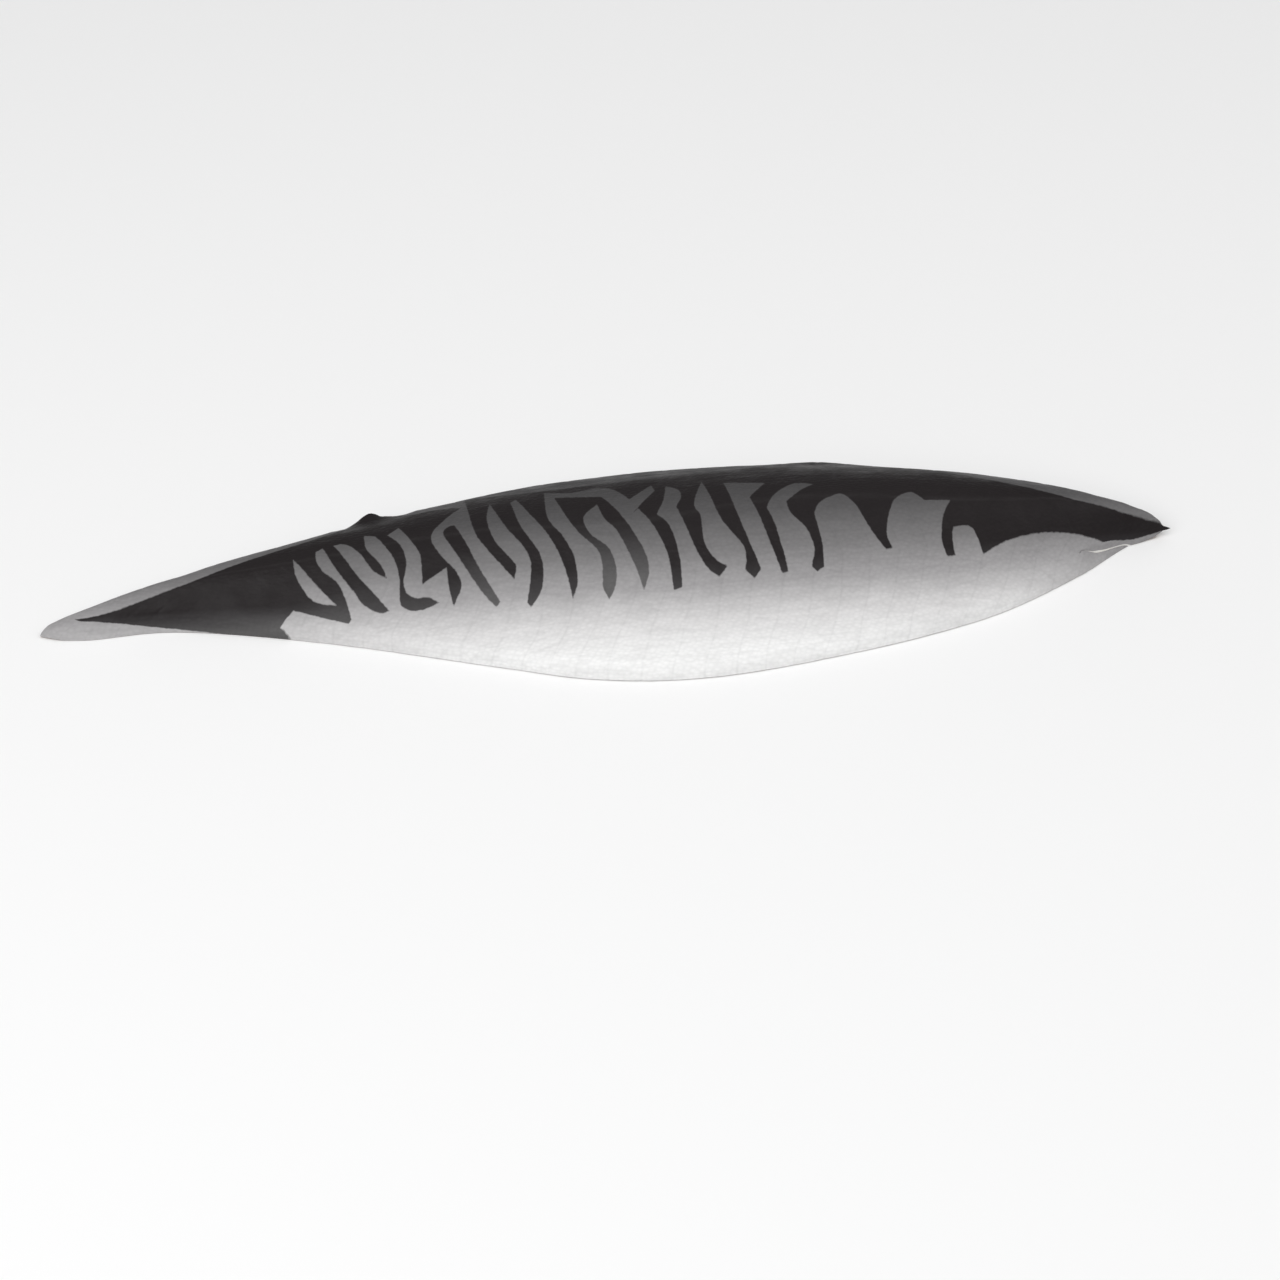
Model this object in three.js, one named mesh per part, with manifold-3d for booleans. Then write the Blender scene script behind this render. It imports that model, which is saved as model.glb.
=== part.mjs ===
// A mackerel fillet: one side of the fish, cut from the backbone, headless and tailless, lying skin side up.
// Millimetres. +X runs from the tail to the shoulder, +Y from the belly to the back, +Z up from the board it lies on.
// The origin is under the middle of the fillet, on the plane that its flesh side rests on.

import * as THREE from "three";
import { mergeVertices } from "three/addons/utils/BufferGeometryUtils.js";
import Module from "manifold-3d";

// Driving dimensions.
const LENGTH = 236; // tail tip to shoulder tip
const THICKNESS = 19; // at the thickest of the loin

// The two long edges in plan, from the tail tip to the shoulder tip: [from the tail tip, from the long axis].
const SHOULDER_TIP = [LENGTH, -2.1];
const BACK_EDGE = [
  [0, 0], [2.2, 1.2], [18, 5.5], [61, 16.4], [98, 22.4], [128, 23.2], [158, 20.2], [190, 13.6],
  [216, 6.2], [229, 1], [234, -1.7], SHOULDER_TIP,
];
const BELLY_EDGE = [
  [0, 0], [2.2, -1.9], [9, -3.3], [26, -3.1], [57, -11.1], [88, -22.6], [110, -30.4], [132, -33.4], [165, -29.8],
  [195, -22.2], [214, -12.6], [226, -4.8], [233, -2.5], SHOULDER_TIP,
];

// Thickness of the loin along the fillet, as shares of the length and of THICKNESS.
const LOIN = [[0, 0.1], [0.08, 0.31], [0.25, 0.58], [0.42, 0.82], [0.62, 1], [0.8, 0.9], [0.92, 0.58], [1, 0.2]];
const LOIN_CREST = 0.6; // where across the fillet the loin is thickest, from the belly edge (0) to the back edge (1)
const BACK_RIM = 0.46; // height of the cut along the back, as a share of the loin beside it
const BACK_ROLL = 4.2; // how far in from the back edge the skin starts to roll over it
const BELLY_FLAP = 3.2; // thickness of the belly flap
const BELLY_ROLL = 2.8; // how far in from the belly edge the skin starts to roll under
const TAIL_NOSE = { length: 7, height: 1.1 }; // rounded end of the tail
const SHOULDER_NOSE = { length: 9, height: 1.8 }; // rounded end of the shoulder

// Flesh side: the hollow where the ribs lay, and the groove where the pin bones were cut out.
const RIB_HOLLOW = { from: 0.5, to: 0.93, depth: 1.7, belly: 0.1, loin: 0.46 };
const PIN_GROOVE = { from: 0.3, to: 0.95, depth: 1.3, across: 0.52, width: 0.035 };

// Stubs of the two dorsal fins, trimmed off along the back: where each starts, peaks and ends, and its height.
const FIN_STUBS = [
  { start: 65.5, peak: 70.6, end: 77, height: 2.8 },
  { start: 152, peak: 164, end: 178, height: 1 },
];
const STUB_ACROSS = 0.935; // where across the fillet the stubs stand
const STUB_SPREAD = 0.06; // how far across they fade out

// The slit between the shoulder and the end of the belly flap, which the cut behind the gills leaves: from its
// inner end past the tip of the flap, out to where the trimmed shoulder ends, and back along the shoulder's wall.
const SLIT = [[214.8, -9.6], [226.4, -4.75], [234.6, -2.25], [226, -4.3]];

// Fineness of the mesh.
const STATIONS = 124; // along the fillet
const SKIN_STEPS = 28; // across the skin side
const FLESH_STEPS = 14; // across the flesh side

const smooth = (t) => t * t * (3 - 2 * t);
const ramp = (value, from, to) => smooth(THREE.MathUtils.clamp((value - from) / (to - from), 0, 1));

// A smooth curve through the points of one long edge, in plan.
function edgeCurve(points) {
  return new THREE.CatmullRomCurve3(points.map(([x, y]) => new THREE.Vector3(x, y, 0)));
}

// A smooth run through [place, value] pairs, to be read at any place.
function runThrough(pairs) {
  const run = new THREE.CubicInterpolant(pairs.map(([place]) => place), pairs.map(([, value]) => value), 1);
  return (place) => run.evaluate(place)[0];
}

// How far a quarter round of this length has risen at this distance from where it starts: from 0 to 1.
function quarterRound(distance, length) {
  const left = 1 - THREE.MathUtils.clamp(distance / length, 0, 1);
  return Math.sqrt(1 - left * left);
}

// Height of the skin across the fillet, as a share of the loin: thin at the belly, full at the crest, cut at the back.
function loinShare(across) {
  if (across < LOIN_CREST) return smooth(across / LOIN_CREST);
  const down = (across - LOIN_CREST) / (1 - LOIN_CREST);
  return 1 - (1 - BACK_RIM) * down * down;
}

const backEdge = edgeCurve(BACK_EDGE);
const bellyEdge = edgeCurve(BELLY_EDGE);
const loinAlong = runThrough(LOIN);

// Everything that a cross-section needs at one place along the fillet, from 0 at the tail to 1 at the shoulder.
function station(run) {
  const outer = backEdge.getPointAt(run);
  const inner = bellyEdge.getPointAt(run);
  const x = (outer.x + inner.x) / 2;
  return {
    outer,
    inner,
    width: Math.max(outer.distanceTo(inner), 0.1),
    place: x / LENGTH,
    loin: THICKNESS * loinAlong(x / LENGTH),
    full: quarterRound(x, TAIL_NOSE.length) * quarterRound(LENGTH - x, SHOULDER_NOSE.length),
    tip: x < LENGTH / 2 ? TAIL_NOSE.height : SHOULDER_NOSE.height,
  };
}

// Height of the trimmed fin stubs above the skin.
function stubHeight(x, across) {
  const near = 1 - Math.min(Math.abs(across - STUB_ACROSS) / STUB_SPREAD, 1);
  return FIN_STUBS.reduce((sum, { start, peak, end, height }) => {
    const rise = x < peak ? (x - start) / (peak - start) : (end - x) / (end - peak);
    return sum + height * smooth(near) * Math.max(rise, 0);
  }, 0);
}

// A point of the skin side, from the belly edge (0) to the back edge (1).
function skinPoint(s, across) {
  const flap = Math.min(BELLY_FLAP, s.loin);
  const bellyRoll = quarterRound(across * s.width, Math.min(BELLY_ROLL, s.width / 3));
  const backRoll = quarterRound((1 - across) * s.width, Math.min(BACK_ROLL, s.width / 3));
  const height = (flap + (s.loin - flap) * loinShare(across)) * bellyRoll * backRoll;
  const point = new THREE.Vector3().lerpVectors(s.inner, s.outer, across);
  point.z = s.tip + (height - s.tip) * s.full;
  const stub = stubHeight(point.x, across);
  point.y += stub * 0.64;
  point.z += stub * 0.77;
  return point;
}

// A point of the flesh side, which lies on the board except in the hollow, the groove and the two noses.
function fleshPoint(s, across) {
  const point = new THREE.Vector3().lerpVectors(s.inner, s.outer, across);
  const hollow =
    RIB_HOLLOW.depth *
    ramp(s.place, RIB_HOLLOW.from, RIB_HOLLOW.from + 0.12) *
    ramp(s.place, RIB_HOLLOW.to, RIB_HOLLOW.to - 0.12) *
    ramp(across, RIB_HOLLOW.belly, RIB_HOLLOW.belly + 0.12) *
    ramp(across, RIB_HOLLOW.loin, RIB_HOLLOW.loin - 0.12);
  const groove =
    PIN_GROOVE.depth *
    ramp(s.place, PIN_GROOVE.from, PIN_GROOVE.from + 0.1) *
    ramp(s.place, PIN_GROOVE.to, PIN_GROOVE.to - 0.1) *
    Math.max(0, 1 - Math.abs(across - PIN_GROOVE.across) / PIN_GROOVE.width);
  point.z = s.tip * (1 - s.full) + Math.max(hollow, groove);
  return point;
}

// The whole fillet: a ball whose poles are the two tips and whose rings are the cross-sections between them.
function filletBody() {
  const around = SKIN_STEPS + FLESH_STEPS;
  const ball = new THREE.SphereGeometry(1, around, STATIONS);
  const places = ball.attributes.position;
  for (let i = 0; i < places.count; i += 1) {
    const ring = Math.floor(i / (around + 1));
    const turn = i % (around + 1) % around;
    const even = 1 - ring / STATIONS;
    const s = station((even + smooth(even)) / 2);
    const half = FLESH_STEPS / 2;
    let point;
    if (turn < half) point = fleshPoint(s, 0.5 + turn / FLESH_STEPS);
    else if (turn <= half + SKIN_STEPS) {
      point = skinPoint(s, 0.5 + 0.5 * Math.cos((Math.PI * (turn - half)) / SKIN_STEPS));
    } else point = fleshPoint(s, (turn - half - SKIN_STEPS) / FLESH_STEPS);
    places.setXYZ(i, point.x, point.y, point.z);
  }
  return ball;
}

// The thin wedge that the slit takes out of the belly edge, right through the fillet.
function slitWedge() {
  const outline = new THREE.Shape(SLIT.map(([x, y]) => new THREE.Vector2(x, y)));
  const wedge = new THREE.ExtrudeGeometry(outline, { depth: 2 * THICKNESS, bevelEnabled: false });
  return wedge.translate(0, 0, -THICKNESS / 2);
}

const wasm = await Module();
wasm.setup();

// A closed three.js geometry as a solid that can be cut.
function solid(geometry) {
  const bare = geometry.clone();
  bare.deleteAttribute("normal");
  bare.deleteAttribute("uv");
  const merged = mergeVertices(bare, 1e-4);
  const vertProperties = new Float32Array(merged.attributes.position.array);
  const triVerts = new Uint32Array(merged.index.array);
  return new wasm.Manifold(new wasm.Mesh({ numProp: 3, vertProperties, triVerts }));
}

// A cut solid back as a three.js geometry.
function geometryOf(body) {
  const { vertProperties, triVerts } = body.getMesh();
  const geometry = new THREE.BufferGeometry();
  geometry.setAttribute("position", new THREE.BufferAttribute(vertProperties, 3));
  geometry.setIndex(new THREE.BufferAttribute(triVerts, 1));
  geometry.computeVertexNormals();
  return geometry;
}

// Moves a geometry so that the origin is under its middle, on the board.
function standOnOrigin(geometry) {
  geometry.computeBoundingBox();
  const { min, max } = geometry.boundingBox;
  return geometry.translate(-(min.x + max.x) / 2, -(min.y + max.y) / 2, -min.z);
}

// The skin: near black along the back, silver at the flank, with the oily shine of the fish.
const skin = new THREE.MeshStandardMaterial({ color: 0x4d4b4c, roughness: 0.35, metalness: 0.1 });

const fillet = new THREE.Mesh(standOnOrigin(geometryOf(solid(filletBody()).subtract(solid(slitWedge())))), skin);
fillet.name = "fillet";

const mackerel = new THREE.Group();
mackerel.add(fillet);

export default mackerel;
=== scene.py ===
import math

import bpy
import numpy as np
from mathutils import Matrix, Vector, noise


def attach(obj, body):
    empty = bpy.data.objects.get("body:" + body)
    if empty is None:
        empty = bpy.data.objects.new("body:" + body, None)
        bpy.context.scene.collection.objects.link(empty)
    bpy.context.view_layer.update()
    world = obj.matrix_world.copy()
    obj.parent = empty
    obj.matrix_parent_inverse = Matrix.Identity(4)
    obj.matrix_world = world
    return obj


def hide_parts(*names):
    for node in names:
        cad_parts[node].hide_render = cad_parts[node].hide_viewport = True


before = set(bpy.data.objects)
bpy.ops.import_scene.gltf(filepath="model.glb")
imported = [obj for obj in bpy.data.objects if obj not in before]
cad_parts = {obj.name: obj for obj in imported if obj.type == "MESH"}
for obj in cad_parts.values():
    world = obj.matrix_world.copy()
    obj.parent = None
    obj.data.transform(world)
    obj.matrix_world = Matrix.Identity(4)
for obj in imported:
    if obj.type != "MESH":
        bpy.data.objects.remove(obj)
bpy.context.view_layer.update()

# The skin: one thin sheet over the whole upper side, rolled under at the belly and down over the cut back.
# It is hot-smoked fish skin, oily and a little drawn in, near black on the back and white at the belly.
# It is shaped from a finer copy of the fillet, gets its dents, folds and marks, and then its thickness.

MM = 0.001
SKIN_THICK = 0.5
SHARP_RIM = math.radians(60)
SMOOTH_BELOW = math.radians(50)
TO_SPARE = 0.01


def take_up(piece):
    """Makes the piece the only one selected, and the one that is worked on."""
    bpy.ops.object.select_all(action="DESELECT")
    piece.select_set(True)
    bpy.context.view_layer.objects.active = piece


def fillet_copy(name):
    """A copy of the fillet as one closed surface of small quads, its sharp rims kept sharp."""
    piece = bpy.data.objects.new(name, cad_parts["fillet"].data.copy())
    bpy.context.scene.collection.objects.link(piece)
    piece.data.materials.clear()
    take_up(piece)
    bpy.ops.object.mode_set(mode="EDIT")
    bpy.ops.mesh.select_all(action="SELECT")
    bpy.ops.mesh.customdata_custom_splitnormals_clear()
    bpy.ops.mesh.remove_doubles(threshold=0.0005 * MM)
    bpy.ops.mesh.tris_convert_to_quads(face_threshold=1.0, shape_threshold=1.0)
    bpy.ops.mesh.select_mode(type="EDGE")
    bpy.ops.mesh.select_all(action="DESELECT")
    bpy.ops.mesh.edges_select_sharp(sharpness=SHARP_RIM)
    bpy.ops.transform.edge_crease(value=1)
    bpy.ops.object.mode_set(mode="OBJECT")
    finer = piece.modifiers.new("finer", "SUBSURF")
    finer.levels = finer.render_levels = 2
    bpy.ops.object.modifier_apply(modifier=finer.name)
    return piece


def pick_faces(piece, chosen):
    """Opens the piece for editing, with just these of its faces selected."""
    bpy.ops.object.mode_set(mode="EDIT")
    bpy.ops.mesh.select_mode(type="FACE")
    bpy.ops.mesh.select_all(action="DESELECT")
    bpy.ops.object.mode_set(mode="OBJECT")
    piece.data.polygons.foreach_set("select", chosen)
    bpy.ops.object.mode_set(mode="EDIT")


def points_of(piece):
    """The piece's points in millimetres: along from the tail tip, across the fish, and up from the board."""
    flat = np.empty(len(piece.data.vertices) * 3, np.float32)
    piece.data.vertices.foreach_get("co", flat)
    return flat.reshape(-1, 3) / MM - tail_tip


def facing_of(piece):
    """The direction in which the piece faces at each point."""
    flat = np.empty(len(piece.data.vertices) * 3, np.float32)
    piece.data.vertex_normals.foreach_get("vector", flat)
    return flat.reshape(-1, 3)


def move_to(piece, points):
    """Puts the piece's points at these places."""
    piece.data.vertices.foreach_set("co", ((points + tail_tip) * MM).astype(np.float32).ravel())
    piece.data.update()


def keep_inside(piece):
    """Holds the piece within the fillet's own length, width and height."""
    low, high = cad_points.min(axis=0), cad_points.max(axis=0) - TO_SPARE
    move_to(piece, np.clip(points_of(piece), low, high))


def keep_value(piece, name, values):
    """Keeps one value a point on the piece, for its material to read."""
    attribute = piece.data.attributes.new(name, "FLOAT", "POINT")
    attribute.data.foreach_set("value", values.astype(np.float32))


def kept_value(piece, name):
    """The values that were kept on the piece."""
    values = np.empty(len(piece.data.vertices), np.float32)
    piece.data.attributes[name].data.foreach_get("value", values)
    return values


def ease(value, start, end):
    """0 before start, 1 after end, smooth between them."""
    t = np.clip((value - start) / (end - start), 0, 1)
    return t * t * (3 - 2 * t)


def within(value, start, full, fade, end):
    """1 from full to fade, 0 before start and after end, smooth between them."""
    return ease(value, start, full) * (1 - ease(value, fade, end))


def read_at(x, run):
    """Reads a run of (along, value) pairs at these places along the fillet."""
    return np.interp(x, *zip(*run))


def grain(points, along, across, up, seed):
    """Soft natural unevenness from -1 to 1, with lumps of about these lengths."""
    shift = Vector((seed * 17.3, seed * 5.1, seed * 9.7))
    return np.array([noise.noise(Vector((x / along, y / across, z / up)) + shift) for x, y, z in points])


cad_points = np.array([v.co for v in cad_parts["fillet"].data.vertices]) / MM
tail_tip = cad_points[cad_points[:, 0].argmin()] * (1, 1, 0)
cad_points -= tail_tip

# The edges and the height of the fillet at stops along it, each taken from the points that are near the stop.
FILLET_LENGTH = 236
STOPS = np.arange(0, FILLET_LENGTH + 2, 2.0)
NEAR_STOP = 2.2
near_stop = [cad_points[abs(cad_points[:, 0] - max(stop, 1)) < NEAR_STOP] for stop in STOPS]
belly_side = np.array([p[:, 1].min() for p in near_stop])
back_side = np.array([p[:, 1].max() for p in near_stop])
ridge = np.array([p[:, 2].max() for p in near_stop])


def across_of(points):
    """How far across the fillet a point lies, from the belly edge (0) to the back edge (1)."""
    low = np.interp(points[:, 0], STOPS, belly_side)
    high = np.interp(points[:, 0], STOPS, back_side)
    return np.clip((points[:, 1] - low) / np.maximum(high - low, 0.5), 0, 1)


skin = fillet_copy("fillet_skin")
flesh = fillet_copy("fillet_flesh")

# The slit at the shoulder, in plan: from its inner end along the belly flap, and along the shoulder's wall.
SLIT_END = (214.8, -9.6)
FLAP_WALL = [SLIT_END, (226.4, -4.75)]
SHOULDER_WALL = [SLIT_END, (226, -4.3), (234.6, -2.25)]


def beside_line(points, start, end):
    """Distance from points in plan to the straight line between two places."""
    start, end = np.array(start), np.array(end)
    reach = end - start
    t = np.clip((points[:, :2] - start) @ reach / (reach @ reach), 0, 1)
    return np.linalg.norm(points[:, :2] - start - t[:, None] * reach, axis=1)


def by_slit(points):
    """Distance in plan from the slit's nearer wall."""
    return np.minimum(beside_line(points, *FLAP_WALL), beside_line(points, *SHOULDER_WALL[:2]))


def by_shoulder_wall(points):
    """Distance in plan from the shoulder's cut wall, to its far end."""
    return np.minimum(beside_line(points, *SHOULDER_WALL[:2]), beside_line(points, *SHOULDER_WALL[1:]))


# The flesh side and the flap's wall in the slit aren't skin. The shoulder's dark point is skin all round.
POINT_STARTS = 234.3
FACES_DOWN = -0.25
centres = np.array([p.center for p in skin.data.polygons]) / MM - tail_tip
normals = np.array([p.normal for p in skin.data.polygons])
upright = abs(normals[:, 2]) < 0.3
wall = upright & (normals[:, 1] > 0.3) & (beside_line(centres, *FLAP_WALL) < 0.12)
bare = ((normals[:, 2] < FACES_DOWN) | wall) & (centres[:, 0] < POINT_STARTS)
take_up(skin)
pick_faces(skin, bare)
bpy.ops.mesh.delete(type="FACE")
bpy.ops.object.mode_set(mode="OBJECT")

# The skin has drawn up from the board: a thin strip of flesh shows under it along the back, and next to none
# along the belly, at the two tips and at the slit. Both are shares of the height of the fillet there.
SHOWS_AT_BACK = 0.13
SHOWS_AT_BELLY = 0.006
SHOWS_ALONG = (2, 22, 205, 229)


def skin_edge(points, facing):
    """How high above the board the skin ends, beside each point."""
    at_back = ease(facing[:, 1], -0.1, 0.3) * within(points[:, 0], *SHOWS_ALONG)
    share = SHOWS_AT_BELLY + (SHOWS_AT_BACK - SHOWS_AT_BELLY) * at_back
    along = points * (1, 0, 0)
    waver = 1 + 0.3 * grain(along, 9, 1, 1, 3) + 0.15 * grain(along, 2.5, 1, 1, 4)
    return share * np.interp(points[:, 0], STOPS, ridge) * waver


# How much fuller than the fillet's plain form the back and the shoulder's point stand, and how much is taken
# off the first fin stub after it is set back: (along, by how much), outwards from the back's slope. The pairs
# say how far across the back and the stub come in, and how far up the point does.
OUTWARDS = np.array([0, 0.64, 0.77])
BACK_ACROSS, STUB_ACROSS, POINT_HEIGHT = (0.45, 0.85), (0.75, 0.9), (1, 3.2)
FULLER_BACK = [(0, 0), (10, 0.25), (35, 0.45), (57, 0.2), (80, 0.15), (105, 0.42), (133, 0.08), (172, 0.1),
               (190, 0.35), (215, 0.6), (222, 0.72), (228, 0.8), (230, 0.75), (232, 0.5), (234, 0), (236, 0)]
FULLER_POINT = [(227.5, 0), (229.3, 0.12), (230.4, 0.35), (231.2, 0.58), (231.9, 0.62), (232.6, 0.45),
                (233.5, 0.25), (234.4, 0.1), (236, 0)]
STUB_SET_BACK, STUB_ALONG = 1.35, (59, 66, 80, 87)
STUB_TRIM = [(61.5, 0), (64.5, 0.42), (68.2, 0.42), (68.75, 0.44), (69.4, 0.33), (70, 0.2), (70.6, 0.34),
             (71.25, 0.42), (71.9, 0.54), (72.5, 0.51), (73.1, 0.4), (74.4, 0.35), (75.6, 0.31), (77, 0.28),
             (79.5, 0)]

# The belly flap thins towards its tip, which reaches along the slit. The tail's end is round and drops to the
# board. The shoulder closes in on the line of its slim dark point, from below more than from above. A pair
# after an amount says between which places along the fillet it comes in.
FLAP_THINS_BY, FLAP_THINS = 0.4, (215.2, 219.5)
FLAP_REACH, FLAP_REACHES = np.array([1.5, 1.12, 0]), (219, 225.2)
TAIL_ROUND = 2.6
TAIL_DROP = np.array([-0.2, -0.85, -0.9])
POINT_ACROSS, POINT_UP = -2.1, 2.1
POINT_SLIMS = [(0.5, (233.45, 234.4)), (0.42, (234.9, 235.9))]
SLIMS_BELOW_BY, SLIMS_BELOW = 0.4, (232, 233.8)
POINT_REACH, POINT_REACHES = 0.3, (234.6, 235.6)


def trim(piece):
    """Gives the piece this fillet's own back, first fin stub, flap, tail end and shoulder point."""
    points = points_of(piece)
    flap = (points[:, 0] > SLIT_END[0]) & (points[:, 1] < read_at(points[:, 0], FLAP_WALL) + 0.02)
    keep_value(piece, "flap", flap)
    points[:, 2] *= 1 - FLAP_THINS_BY * flap * ease(points[:, 0], *FLAP_THINS)
    points += FLAP_REACH * (flap * ease(points[:, 0], *FLAP_REACHES))[:, None]
    x = points[:, 0].copy()
    across = across_of(points)
    fuller = ease(across, *BACK_ACROSS) * read_at(x, FULLER_BACK)
    fuller += ease(points[:, 2], *POINT_HEIGHT) * read_at(x, FULLER_POINT)
    points += fuller[:, None] * OUTWARDS
    on_stub = ease(across, *STUB_ACROSS)
    points[:, 0] -= STUB_SET_BACK * on_stub * within(x, *STUB_ALONG)
    points -= (on_stub * read_at(points[:, 0], STUB_TRIM))[:, None] * OUTWARDS
    tail_end = np.clip(1 - x / TAIL_ROUND, 0, 1)[:, None] ** 2
    points += tail_end * TAIL_DROP
    slim = 1 - sum(by * ease(x, *where) for by, where in POINT_SLIMS)
    below = SLIMS_BELOW_BY * ease(x, *SLIMS_BELOW) * (points[:, 2] < POINT_UP)
    points[:, 1] = POINT_ACROSS + (points[:, 1] - POINT_ACROSS) * slim
    points[:, 2] = POINT_UP + (points[:, 2] - POINT_UP) * slim * (1 - below)
    points[:, 0] += POINT_REACH * ease(x, *POINT_REACHES)
    points[:, 2] = np.maximum(points[:, 2], 0)
    move_to(piece, points)


trim(skin)
trim(flesh)

# The skin's lower edge is drawn up to its height, and the skin then lies close on the flesh again.
HARDLY = 0.001
points, facing = points_of(skin), facing_of(skin)
edge = np.maximum(skin_edge(points, facing), HARDLY) * ease(by_slit(points), 0.5, 2)
points[:, 2] += edge * np.clip(1 - points[:, 2] / np.maximum(3 * edge, HARDLY), 0, 1) ** 2
move_to(skin, points)
hug = skin.modifiers.new("hug", "SHRINKWRAP")
hug.target = flesh
hug.wrap_method = "NEAREST_SURFACEPOINT"
bpy.ops.object.modifier_apply(modifier=hug.name)

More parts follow.
